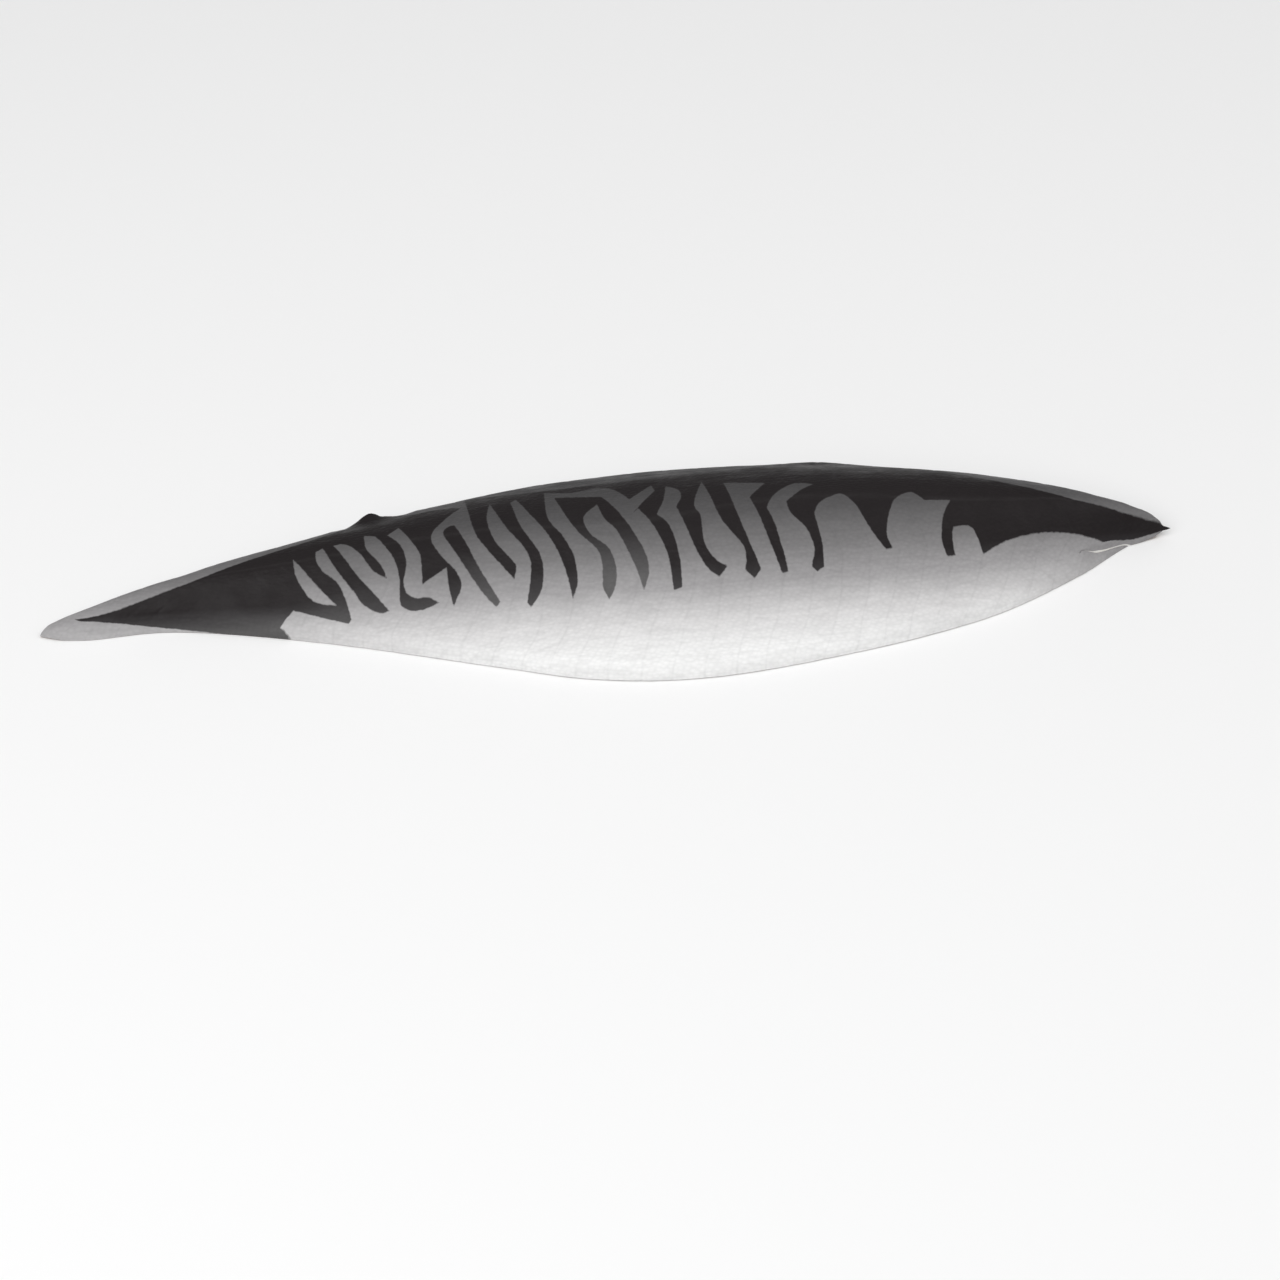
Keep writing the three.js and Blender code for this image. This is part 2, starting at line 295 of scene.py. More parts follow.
# Marks on the skin, in plan. Each line runs smoothly from corner to corner of the dark part's outline: first
# along its lower side, bar by bar from the tail, and then back along the upper side. In places the upper side
# stays short of the back's edge, and the strip of paler grey left along the top is a painted rim light.
DARK_BACK = [
    [(7.5, -0.3), (9, -3), (12, -6), (38, -8.5), (53, -11)],
    [(53, -11), (48.75, -7.75)],
    [(48.75, -7.75), (51.75, -5.5)],
    [(51.75, -5.5), (62.5, -10.25)],
    [(62.5, -10.25), (63.25, -9.5)],
    [(63.25, -9.5), (62.5, -5.75), (61.25, -2.5), (58.5, 0.25), (57.5, 2.5), (57.5, 5)],
    [(57.5, 5), (59, 5.75)],
    [(59, 5.75), (60.75, 1), (62.85, -2.5), (64.55, -5), (65.9, -7.25), (69, -9.5), (71, -9.5)],
    [(71, -9.5), (68.5, -6), (64.75, -1), (61.25, 6)],
    [(61.25, 6), (63.5, 5.75), (66, 3), (68.5, -1.5), (71.25, -3.75)],
    [(71.25, -3.75), (70.5, -1.25), (68.75, 1.5), (67.75, 3.5), (67.75, 7.5)],
    [(67.75, 7.5), (70, 6.5)],
    [(70, 6.5), (71.75, 2.75), (73.25, -0.75), (73.75, -4), (73.5, -6.5), (73.5, -9), (75.5, -10.5),
     (78, -10.75), (81.25, -10.25)],
    [(81.25, -10.25), (79, -8.75), (77, -8.5), (75, -7.25), (74.5, -5), (75.25, -3), (75.5, -0.75),
     (74.75, 2.5), (72.5, 6)],
    [(72.5, 6), (75, 8)],
    [(75, 8), (77.5, 2), (78.5, -0.5), (78.5, -2.5), (78.25, -6.25)],
    [(78.25, -6.25), (83.5, -4.25)],
    [(83.5, -4.25), (83.5, -7.75), (84, -11.5)],
    [(84, -11.5), (86, -8.25), (85.25, -5.25), (83, -2.25), (81.25, 1.5), (81.75, 4.5), (85, 8.5),
     (88.25, 11.75)],
    [(88.25, 11.75), (89.5, 15.5)],
    [(89.5, 15.5), (90, 3), (92, -2.25), (94.25, -5.75), (96.75, -9.25)],
    [(96.75, -9.25), (97.5, -7), (96.5, -5.25), (93.75, -0.5), (93, 5.5), (94.25, 11.25)],
    [(94.25, 11.25), (96.5, 2.25), (99.5, -3.5), (100.5, -7), (99.75, -11), (98.75, -14)],
    [(98.75, -14), (99.5, -15)],
    [(99.5, -15), (101.75, -12.75), (102.75, -9.5), (102.5, -5.5), (99.5, 1.75), (98.5, 10.5)],
    [(98.5, 10.5), (99.75, 11.5)],
    [(99.75, 11.5), (102, 4.5), (104.5, -1.25), (106.5, -6.75), (107.5, -11), (108, -15.25)],
    [(108, -15.25), (109.25, -13), (109.5, -11), (109.25, -7.25), (107.5, -2.5), (105.25, 2.75),
     (105.75, 12.5)],
    [(105.75, 12.5), (110.75, 10.75), (115.25, 11), (118, 10.75), (120.5, 8.5), (122.5, 4.5)],
    [(122.5, 4.5), (127.75, 9.25)],
    [(127.75, 9.25), (128, 6.5)],
    [(128, 6.5), (122.75, 0)],
    [(122.75, 0), (123.75, 1)],
    [(123.75, 1), (126.25, -4.25), (128.25, -10.5), (128.5, -17)],
    [(128.5, -17), (130.25, -16.75)],
    [(130.25, -16.75), (130.5, -13.75), (130.5, -11), (130, -7), (129, -3.75), (127.25, -1.5)],
    [(127.25, -1.5), (129.25, 2.5), (130.5, 8)],
    [(130.5, 8), (132.75, 5.75), (133, 3), (131.5, -0.25)],
    [(131.5, -0.25), (132.5, -4.5), (133.5, -8.25), (134.5, -11.25), (136, -14), (138, -15.75)],
    [(138, -15.75), (140, -14)],
    [(140, -14), (137.75, -12.5), (136, -9.25), (136, -3.25), (135.25, 0), (138, 8)],
    [(138, 8), (139.5, -2.5), (141, -6.5), (143.75, -10.5), (144, -13), (143.5, -15)],
    [(143.5, -15), (145.25, -16.5)],
    [(145.25, -16.5), (146.75, -15)],
    [(146.75, -15), (146, -12.5), (145, -9.5), (143.5, -3.5), (142.25, 6.25)],
    [(142.25, 6.25), (150.75, 4.5)],
    [(150.75, 4.5), (146.75, 0)],
    [(146.75, 0), (149, -9), (151, -16)],
    [(151, -16), (152.25, -15.75)],
    [(152.25, -15.75), (152, -13), (151.5, -10.5), (150.75, -6.5), (149.75, -3.25)],
    [(149.75, -3.25), (152, 0.25), (156.5, 3.25), (160.5, 2.5)],
    [(160.5, 2.5), (157.5, 0.75), (154, -2.25)],
    [(154, -2.25), (154.5, -5), (157.25, -8.5), (158.25, -12), (157.25, -15)],
    [(157.25, -15), (158.25, -16)],
    [(158.25, -16), (159.75, -15.25)],
    [(159.75, -15.25), (160, -12.75), (160, -10.75), (159.25, -5.5)],
    [(159.25, -5.5), (160.5, -3.5), (163, -2), (165.75, -1.5), (168, -4.25), (170.25, -9), (173, -12.75)],
    [(173, -12.75), (174.5, -12.5)],
    [(174.5, -12.5), (173.75, -11), (173.75, -9.5), (174.5, -7), (176.5, -3.5), (180, -2), (182.5, -4)],
    [(182.5, -4), (188, -4)],
    [(188, -4), (186, -7), (185.25, -9.5), (185, -11.5), (185.75, -13.75)],
    [(185.75, -13.75), (187.5, -13.5)],
    [(187.5, -13.5), (187.25, -11.5), (187.5, -9.75), (187.75, -9)],
    [(187.75, -9), (191, -8.75), (192.25, -9.75), (193.5, -13)],
    [(193.5, -13), (198.25, -10.75), (204.5, -8.75), (211, -7.5), (216, -7), (219.2, -6.8), (221, -6.5),
     (222.5, -5.9)],
    [(222.5, -5.9), (223.5, -6.6), (228, -5.2), (234.2, -5)],
    [(234.2, -5), (240, -5)],
    # The upper side, from the shoulder back to the tail; where it stays short of the back's edge, a painted
    # rim light of paler grey runs along the top.
    [(240, 1), (234.2, 1)],
    [(234.2, 1), (233.95, -1.93)],
    [(233.95, -1.93), (232, -1.83), (228, -1.87), (224, -1.82), (214.25, -1.35), (205.75, 0.65),
     (200.5, 2.2), (196, 3.7), (192.5, 5.6), (187.5, 8.5)],
    [(187.5, 8.5), (188.5, 12), (191, 18), (197, 30)],
    [(136, 30), (147, 19), (153, 15.2)],
    [(153, 15.2), (148.7, 13.8), (144.75, 13.2), (138.5, 12.7), (130, 12.6), (121.5, 12.9), (113.5, 13.2),
     (105, 13.7), (97, 15.1), (90, 16.9)],
    [(90, 16.9), (88.25, 11.75)],
    [(88.25, 11.75), (86.5, 12.8), (82.25, 13.4), (79, 13.2), (76.25, 14.2)],
    [(76.25, 14.2), (77, 17), (80, 22), (86, 30)],
    [(57, 30), (62.5, 20), (64.7, 16), (65, 13)],
    [(65, 13), (59.25, 10.5), (53.75, 9), (47.25, 7.25), (40.25, 5.25), (32.75, 3.25), (24, 1.5),
     (15.5, -0.25), (10.5, -0.75), (7.5, -0.5)],
]
LONE_BAR = [
    [(86.25, 5.5), (89.75, -5), (93.5, -12.75)],
    [(93.5, -12.75), (92.5, -13.5)],
    [(92.5, -13.5), (90.25, -10.5), (88.25, -7), (86.5, -3.5), (84.25, 1.5), (83.75, 3.5), (84.5, 5),
     (86.25, 5.5)],
]
PAIRED_BARS = [
    [(107.5, 9.5), (109, 2.25), (111, -2.75), (114.25, -7.25), (114.75, -10.5), (114.25, -14.25)],
    [(114.25, -14.25), (115.25, -16.75)],
    [(115.25, -16.75), (116.75, -14.75), (117.5, -11.5), (116.5, -7.25), (113.25, -3.5), (112.5, 1),
     (115.75, 4.5)],
    [(115.75, 4.5), (116.5, 0), (118.5, -3.5), (120, -7.5), (121.5, -12), (122.5, -16.25)],
    [(122.5, -16.25), (124, -13), (123.75, -9.5), (121.75, -4.25), (118.5, 3.75), (117, 7)],
    [(117, 7), (107.5, 9.5)],
]
PALE_LEAF = [
    [(52.75, 4), (52.85, 0.8), (54, -2), (55.4, -4.05), (57.4, -5.4), (60.5, -6.25)],
    [(60.5, -6.25), (56.5, -1.5), (52.75, 4)],
]


def drawn(lines):
    """The outline as a chain of close points, each of its lines drawn smoothly through its places."""
    chain = []
    for line in lines:
        before = [2 * line[0][i] - line[1][i] for i in (0, 1)]
        after = [2 * line[-1][i] - line[-2][i] for i in (0, 1)]
        p = np.array([before, *line, after])
        for a, b, c, d in zip(p, p[1:], p[2:], p[3:]):
            for t in np.arange(6) / 6 if len(line) > 2 else [0]:
                bend = (2 * a - 5 * b + 4 * c - d) * t * t + (3 * b - a - 3 * c + d) * t**3
                chain.append(0.5 * (2 * b + (c - a) * t + bend))
        chain.append(p[-2])
    return np.array(chain)


def depth_in(points, lines):
    """How far in plan a point lies inside an outline: more than 0 inside it, less than 0 outside."""
    chain = drawn(lines)
    nearest = np.full(len(points), 1e3)
    inside = np.zeros(len(points), bool)
    x, y = points[:, 0], points[:, 1]
    for start, end in zip(chain, np.roll(chain, -1, axis=0)):
        if np.allclose(start, end):
            continue
        nearest = np.minimum(nearest, beside_line(points, start, end))
        if start[1] != end[1]:
            crosses = (start[1] > y) != (end[1] > y)
            inside ^= crosses & (x < start[0] + (y - start[1]) * (end[0] - start[0]) / (end[1] - start[1]))
    return np.where(inside, nearest, -nearest)


# How high up the steep belly side of the tail the dark ends, and up the shoulder's cut wall: (along, up).
# That side of the tail ends at SIDE_ALONG and SIDE_ACROSS.
DARK_ON_TAIL = [(6.5, 3.5), (10.7, 3.5), (13.7, 3.1), (16.7, 2.6), (19.7, 2), (22.7, 1.45), (25.7, 1),
                (28.7, 0.7), (34.7, 0.2), (40, -0.2), (50, -1)]
DARK_ON_WALL = [(216, 7), (221.6, 5), (222.6, 3.1), (223.7, 2.7), (225.6, 1.9), (227.7, 1.4), (232, 1.4),
                (235, 1.9)]
SIDE_ALONG, SIDE_ACROSS = 42, 0.6
ON_WALL, WALL_ENDS = 0.25, 234
NOT_DARK = -2


def dark_depth_at(piece):
    """How far inside the dark marks each point of the skin lies, less than 0 outside them."""
    points = points_of(piece)
    dark = np.minimum(depth_in(points, DARK_BACK), -depth_in(points, PALE_LEAF))
    dark = np.maximum(np.maximum(dark, depth_in(points, LONE_BAR)), depth_in(points, PAIRED_BARS))
    x, y, z = points.T
    on_side = (x < SIDE_ALONG) & (across_of(points) < SIDE_ACROSS)
    steep = np.sqrt(np.maximum(1 - facing_of(piece)[:, 2] ** 2, 0.04))
    dark = np.where(on_side, np.minimum(dark, (z - read_at(x, DARK_ON_TAIL)) / steep), dark)
    on_wall = (by_shoulder_wall(points) < ON_WALL) & (x < WALL_ENDS)
    dark = np.where(on_wall, np.minimum(dark, z - read_at(x, DARK_ON_WALL)), dark)
    return np.where(kept_value(piece, "flap") > 0.5, NOT_DARK, dark)


# The skin gets finer faces where the outlines of the marks run, so that their corners stay sharp.
BY_OUTLINE = 0.3
FINER_UP_TO = 232
dark = dark_depth_at(skin)
corners = np.empty(len(skin.data.loops), np.int32)
skin.data.loops.foreach_get("vertex_index", corners)
starts = np.array([p.loop_start for p in skin.data.polygons])
by_outline = np.minimum.reduceat(abs(dark[corners]), starts) < BY_OUTLINE
by_outline &= np.minimum.reduceat(points_of(skin)[corners, 0], starts) < FINER_UP_TO
pick_faces(skin, by_outline)
bpy.ops.mesh.subdivide(number_cuts=1, smoothness=0, ngon=False)
bpy.ops.object.mode_set(mode="OBJECT")
points, facing = points_of(skin), facing_of(skin)
dark = dark_depth_at(skin)

# Over the back, where the skin turns down to the board, wavy bars carry on from the marks. There are none by
# the tail and by the shoulder.
BARS_APART = 8.8
BARS_START, BARS_END = (40, 66), (196, 222)
MARK_LIMIT = 1.5
OVER_BACK_WAY = (0.1, 0.76, -0.64)
over_back = ease(facing @ OVER_BACK_WAY, 0.01, 0.32)
lean = points[:, 0] + 0.6 * points[:, 2]
lean += 5 * grain(points, 17, 17, 17, 11) + 1.2 * grain(points, 4, 4, 4, 12)
bars = MARK_LIMIT * (np.sin(2 * np.pi * lean / BARS_APART) + 0.5 * grain(points, 30, 30, 30, 13) + 0.3)
bars -= 2 * MARK_LIMIT * (1 - ease(points[:, 0], *BARS_START) + ease(points[:, 0], *BARS_END))
dark = np.clip(dark, -MARK_LIMIT, MARK_LIMIT)
dark = (1 - over_back) * dark + over_back * np.clip(bars, -MARK_LIMIT, MARK_LIMIT)

# The flank's height, from the white of the belly to the back. Towards the shoulder the flank is paler, in two
# steps, and most of all low on it, where the belly edge turns away from the lamps: that extra paleness is
# painted light against the shade there.
FLANK_WAY = (0.031, 0.645, 0.766)
BACK_HEIGHT = [(0, 5), (40, 13), (90, 20), (150, 22), (200, 17), (236, 9)]
PALER_STEPS = [(184, 200), (200, 214)]
PAINTED_LIGHT_BELOW, HIGH_FLANK = -2.5, (6, 9)
flank = points @ FLANK_WAY
flank += over_back * np.maximum(read_at(points[:, 0], BACK_HEIGHT) - flank, 0)
paler = sum(ease(points[:, 0], *step) for step in PALER_STEPS)
# Low on the flank near the shoulder, painted light offsets the shade where the belly edge turns away.
flank -= paler * (0.6 + 0.7 * np.maximum(PAINTED_LIGHT_BELOW - flank, 0)) * (1 - ease(flank, *HIGH_FLANK))

# How much a mark has faded, below the flank height at which that starts. On the tail it starts lower down and
# goes faster.
BAR_MARGIN = -0.6
PAIRED_FADE_FROM, LONE_FADES_FROM, BACK_FADES_FROM = 15.6, 11.5, 6.4
TAIL_ENDS, TAIL_LOWER, TAIL_FASTER = (50, 70), 3.5, 1.35
on_tail = 1 - ease(points[:, 0], *TAIL_ENDS)
by_lone = depth_in(points, LONE_BAR) > BAR_MARGIN
by_paired = depth_in(points, PAIRED_BARS) > BAR_MARGIN
fades_from = np.where(by_lone, LONE_FADES_FROM, BACK_FADES_FROM - TAIL_LOWER * on_tail)
fades_from = np.where(by_paired, PAIRED_FADE_FROM, fades_from)
faded = np.maximum(fades_from - flank, 0) * (1 + TAIL_FASTER * on_tail)
keep_value(skin, "dark", dark)
keep_value(skin, "flank", flank)
keep_value(skin, "faded", faded)

# Dents, fine folds, and the muscle segments and the lateral line that show through the skin. They go inwards
# from a skin that lies a little fuller, and there are none at the slit and the tips.
SEGMENTS_APART, FURROW_WIDE = 6.2, 0.09
ZIGZAG_REACH, ZIGZAG_TURNS = 7, 1.5
LINE_ACROSS, LINE_WIDE, LINE_STARTS = 0.56, 0.009, (20, 40)
DENT_DEEP, FOLD_DEEP, FURROW_DEEP, LINE_DEEP = 0.22, 0.08, 0.07, 0.05
LIES_FULLER = 0.2
CLEAR_OF_SLIT, CLEAR_OF_TIPS = (0.3, 2.5), (4, 18, 214, 230)
across = across_of(points)
zigzag = ZIGZAG_REACH * abs(2 * ((across * ZIGZAG_TURNS) % 1) - 1)
segment = (points[:, 0] + zigzag + 2.4 * grain(points, 22, 12, 12, 1)) / SEGMENTS_APART
furrow = np.exp(-((((segment % 1) - 0.5) / FURROW_WIDE) ** 2)) * (0.6 + 0.6 * grain(points, 12, 9, 9, 9))
dent = DENT_DEEP * (0.5 + 0.5 * grain(points, 16, 9, 9, 2))
fold = FOLD_DEEP * (0.5 + 0.5 * grain(points, 11, 1.5, 1.5, 5))
line_place = LINE_ACROSS + 0.02 * np.sin(points[:, 0] / 11)
lateral = np.exp(-(((across - line_place) / LINE_WIDE) ** 2)) * ease(points[:, 0], *LINE_STARTS)
lateral *= 0.7 + 0.5 * grain(points * (1, 0, 0), 4, 1, 1, 10)
clear = ease(by_slit(points), *CLEAR_OF_SLIT) * within(points[:, 0], *CLEAR_OF_TIPS)
inward = clear * (dent + fold + FURROW_DEEP * furrow + LINE_DEEP * lateral - LIES_FULLER)
keep_value(skin, "segment", segment)
keep_value(skin, "lateral", lateral)

# Pale fat shows on the cut edge of the flap. The thin pale line low on the shoulder's wall is partly that fat
# and partly painted light, laid over the shade in the slit: (along, up).
PALE_ON_WALL = [(214.8, 3.9), (216, 3.9), (218, 2.7), (221, 1.78), (224, 1.27), (225.6, 0.9), (226.8, 0.25),
                (227.2, 0)]
NOT_PALE = -3
x, y, z = points.T
fat = (1 - ease(beside_line(points, *FLAP_WALL), 0.6, 1.2)) * ease(x, 216, 218) * ease(z, 0.8, 1.6)
keep_value(skin, "pale_cut", fat)
on_wall = (by_shoulder_wall(points) < ON_WALL) & (kept_value(skin, "flap") < 0.5)
keep_value(skin, "pale_line", np.where(on_wall, read_at(x, PALE_ON_WALL) - z, NOT_PALE))
move_to(skin, points - facing * inward[:, None])

# The thickness, inwards. The faces that it adds round the edge get the second finish.
outer_faces, outer_points = len(skin.data.polygons), len(skin.data.vertices)
thick = skin.modifiers.new("thickness", "SOLIDIFY")
thick.thickness = SKIN_THICK * MM
thick.offset = -1
bpy.ops.object.modifier_apply(modifier=thick.name)
rim = np.arange(len(skin.data.polygons)) >= 2 * outer_faces
skin.data.polygons.foreach_set("material_index", rim.astype(np.int32))

# The skin thins out towards the two tips and the point of the belly flap, to these shares of its thickness.
THIN_AT_FLAP, FLAP_TIP = 0.1, (219, 224.5)
THIN_AT_TIPS, TAIL_TIP, SHOULDER_TIP = 0.06, (-0.5, 7), (226, 234)
points = points_of(skin)
outer, inner = points[:outer_points], points[outer_points : 2 * outer_points]
x = outer[:, 0]
flap = kept_value(skin, "flap")[:outer_points] > 0.5
by_flap = 1 - (1 - THIN_AT_FLAP) * ease(x, *FLAP_TIP)
by_point = 1 - (1 - THIN_AT_TIPS) * ease(x, *SHOULDER_TIP)
by_tail = THIN_AT_TIPS + (1 - THIN_AT_TIPS) * ease(x, *TAIL_TIP)
full = np.where(flap, by_flap, by_point) * by_tail
points[outer_points : 2 * outer_points] = outer + (inner - outer) * full[:, None]
move_to(skin, points)

# The inner side of the skin never shows, so it gets fewer faces.
FACES_LEFT = 0.08
inner_side = np.zeros(len(skin.data.polygons), bool)
inner_side[outer_faces : 2 * outer_faces] = True
pick_faces(skin, inner_side)
bpy.ops.mesh.decimate(ratio=FACES_LEFT)
bpy.ops.object.mode_set(mode="OBJECT")
keep_inside(skin)
bpy.ops.object.shade_smooth_by_angle(angle=SMOOTH_BELOW)


# The skin's finish.
def add(tree, kind, **settings):
    """A shader node, with the values of its sockets and its own settings."""
    node = tree.nodes.new("ShaderNode" + kind)
    for name, value in settings.items():
        if hasattr(node, name):
            setattr(node, name, value)
        else:
            node.inputs[name.replace("_", " ")].default_value = value
    return node


def join(tree, source, target, out=0, into=0):
    """Links one node's output to another's input, both by name or number."""
    tree.links.new(source.outputs[out], target.inputs[into])


def blank_material(name):
    """A new material with only its surface shader."""
    material = bpy.data.materials.new(name)
    material.use_nodes = True
    tree = material.node_tree
    tree.nodes.clear()
    shader = add(tree, "BsdfPrincipled")
    output = add(tree, "OutputMaterial")
    join(tree, shader, output)
    return material, tree, shader


def ramp(tree, source, stops, out=0):
    """A colour ramp from (place, grey or colour) pairs."""
    node = add(tree, "ValToRGB")
    elements = node.color_ramp.elements
    while len(elements) < len(stops):
        elements.new(0.5)
    for element, (place, tone) in zip(elements, stops):
        element.position = place
        element.color = (*(tone if isinstance(tone, tuple) else (tone,) * 3), 1)
    join(tree, source, node, out)
    return node


def spread(tree, source, low, high, out=0):
    """Brings a value from low..high to 0..1."""
    node = add(tree, "MapRange", From_Min=low, From_Max=high)
    join(tree, source, node, out)
    return node


def maths(tree, operation, first, second=None, out=0, out_second=0):
    """A sum on one or two values; each is a node or a number."""
    node = add(tree, "Math", operation=operation)
    for into, (value, which) in enumerate([(first, out), (second, out_second)]):
        if value is None:
            continue
        if isinstance(value, (int, float)):
            node.inputs[into].default_value = value
        else:
            join(tree, value, node, which, into)
    return node


def blend(tree, share, first, second, mode="MIX"):
    """Mixes two colours; each is a node or a colour."""
    node = add(tree, "Mix", data_type="RGBA", blend_type=mode)
    for into, value in [(0, share), (6, first), (7, second)]:
        if isinstance(value, (int, float)):
            node.inputs[into].default_value = value
        elif isinstance(value, tuple):
            node.inputs[into].default_value = (*value, 1)
        else:
            join(tree, value, node, 2 if value.bl_idname == "ShaderNodeMix" else 0, into)
    return node


def line_between(tree, counter, breadth, strength, out=0):
    """A soft line midway between whole numbers of a running count, from 0 to its strength."""
    part = maths(tree, "FRACT", counter, None, out)
    centred = maths(tree, "SUBTRACT", part, 0.5)
    off = maths(tree, "ABSOLUTE", centred)
    line = add(tree, "MapRange", interpolation_type="SMOOTHSTEP", From_Min=breadth, From_Max=0)
    line.inputs["To Max"].default_value = strength
    join(tree, off, line)
    return line


skin_finish, tree, shader = blank_material("smoked skin")
place = add(tree, "TexCoord")
flank_height = add(tree, "Attribute", attribute_name="flank")
dark_depth = add(tree, "Attribute", attribute_name="dark")
mark_fade = add(tree, "Attribute", attribute_name="faded")
muscle_segment = add(tree, "Attribute", attribute_name="segment")
lateral_line = add(tree, "Attribute", attribute_name="lateral")

# Grey on the back to white at the belly, a little uneven.
speckle = add(tree, "TexNoise", Scale=1100, Detail=3)
join(tree, place, speckle, "Object", "Vector")
cloud = add(tree, "TexNoise", Scale=70, Detail=4)
join(tree, place, cloud, "Object", "Vector")
uneven = maths(tree, "MULTIPLY_ADD", cloud, 2.4, "Fac")
uneven.inputs[2].default_value = -1.2
flank_uneven = maths(tree, "ADD", flank_height, uneven, "Fac")
flank_share = spread(tree, flank_uneven, -12, 26)
FLANK_TONES = [
    (0.0, (0.93, 0.93, 0.925)), (0.17, (0.72, 0.71, 0.71)), (0.36, (0.375, 0.365, 0.37)),
    (0.54, (0.205, 0.2, 0.202)), (0.75, (0.098, 0.095, 0.097)), (1.0, (0.046, 0.044, 0.045)),
]
flank_tone = ramp(tree, flank_share, FLANK_TONES, "Result")

# The dark marks over it, paler where they have faded, with a slightly ragged edge.
fade_share = spread(tree, mark_fade, 0, 12, "Fac")
MARK_TONES = [
    (0.0, (0.0165, 0.0135, 0.0142)), (0.27, (0.034, 0.031, 0.032)), (0.6, (0.066, 0.063, 0.064)),
    (1.0, (0.115, 0.112, 0.112)),
]
mark_tone = ramp(tree, fade_share, MARK_TONES, "Result")
ragged = maths(tree, "MULTIPLY_ADD", speckle, 0.36, "Fac")
ragged.inputs[2].default_value = -0.18
edge_of_mark = maths(tree, "ADD", dark_depth, ragged, "Fac")
mark_share = spread(tree, edge_of_mark, -0.12, 0.12)
pattern = blend(tree, mark_share, flank_tone, mark_tone)

# Small scales in staggered rows and fine creases along the fish; each scale is paler in its middle, and
# painted shade darkens the scales' sunken rims and the hollows of the creases.
laid_scales = add(tree, "Mapping", Scale=(900, 1350, 1350), Rotation=(0, 0, 0.5))
join(tree, place, laid_scales, "Object", "Vector")
scales = add(tree, "TexVoronoi", Scale=1, Randomness=0.6)
join(tree, laid_scales, scales, 0, "Vector")
laid_creases = add(tree, "Mapping", Scale=(140, 900, 900))
join(tree, place, laid_creases, "Object", "Vector")
creases = add(tree, "TexNoise", Scale=1, Detail=4, Distortion=0.6)
join(tree, laid_creases, creases, 0, "Vector")
scale_rim_shade = ramp(tree, scales, [(0.1, 1.0), (0.75, 0.9)], "Distance")
scaled = blend(tree, 1.0, pattern, scale_rim_shade, "MULTIPLY")
crease_hollow_shade = ramp(tree, creases, [(0.35, 0.93), (0.6, 1.0)], "Fac")
creased = blend(tree, 1.0, scaled, crease_hollow_shade, "MULTIPLY")
# Painted shade along the muscle segments' furrows.
furrow_shade_share = line_between(tree, muscle_segment, 0.07, 0.05, "Fac")
furrow_shaded = blend(tree, furrow_shade_share, creased, (0.02, 0.02, 0.02))
lateral_share = maths(tree, "MULTIPLY", lateral_line, 0.06, "Fac")
lined = blend(tree, lateral_share, furrow_shaded, (0.16, 0.158, 0.155))
# The pale line in the slit: partly fat, partly painted light over the slit's shade.
pale_line = add(tree, "Attribute", attribute_name="pale_line")
pale_share = spread(tree, pale_line, -0.05, 0.05, "Fac")
colour = blend(tree, pale_share, lined, (0.9, 0.89, 0.87))
join(tree, colour, shader, 2, "Base Color")

# Oily in patches: satin between them.
oil = add(tree, "TexNoise", Scale=160, Detail=5, Roughness=0.6)
join(tree, place, oil, "Object", "Vector")
gloss = spread(tree, oil, 0.35, 0.7, "Fac")
gloss.inputs["To Min"].default_value = 0.36
gloss.inputs["To Max"].default_value = 0.56
join(tree, gloss, shader, 0, "Roughness")
shader.inputs["Specular IOR Level"].default_value = 0.12

# The scales and the creases as relief.
scale_bump = add(tree, "Bump", Strength=0.2, Distance=0.00025, invert=True)
join(tree, scales, scale_bump, "Distance", "Height")
crease_bump = add(tree, "Bump", Strength=0.25, Distance=0.0003)
join(tree, creases, crease_bump, "Fac", "Height")
join(tree, scale_bump, crease_bump, 0, "Normal")
join(tree, crease_bump, shader, 0, "Normal")

# The skin's cut edge: pale fat on the flap at the slit, and smoked brown everywhere else.
cut_finish, tree, shader = blank_material("cut edge of the skin")
place = add(tree, "TexCoord")
pale_cut = add(tree, "Attribute", attribute_name="pale_cut")
cut_grain = add(tree, "TexNoise", Scale=600, Detail=3)
join(tree, place, cut_grain, "Object", "Vector")
smoked_cut = ramp(tree, cut_grain, [(0.3, (0.1, 0.062, 0.035)), (0.7, (0.2, 0.13, 0.075))], "Fac")
fat_cut = ramp(tree, cut_grain, [(0.3, (0.74, 0.71, 0.65)), (0.7, (0.88, 0.86, 0.8))], "Fac")
colour = blend(tree, 0, smoked_cut, fat_cut)
join(tree, pale_cut, colour, "Fac", 0)
join(tree, colour, shader, 2, "Base Color")
shader.inputs["Roughness"].default_value = 0.45
shader.inputs["Specular IOR Level"].default_value = 0.25
cut_bump = add(tree, "Bump", Strength=0.3, Distance=0.0002)
join(tree, cut_grain, cut_bump, "Fac", "Height")
join(tree, cut_bump, shader, 0, "Normal")

skin.data.materials.append(skin_finish)
skin.data.materials.append(cut_finish)
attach(skin, "root")
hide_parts("fillet")

# The flesh: a thick layer of smoked muscle under the skin, in flakes that run zigzag across it.
# It is brown at the back, partly from painted shade, tan in the middle, a painted highlight, and pale at the
# slit, with a rib hollow darkened by painted shade, and a belly lining.
# It is the same finer copy, set in under the skin, with its flakes parted by grooves on the open side.

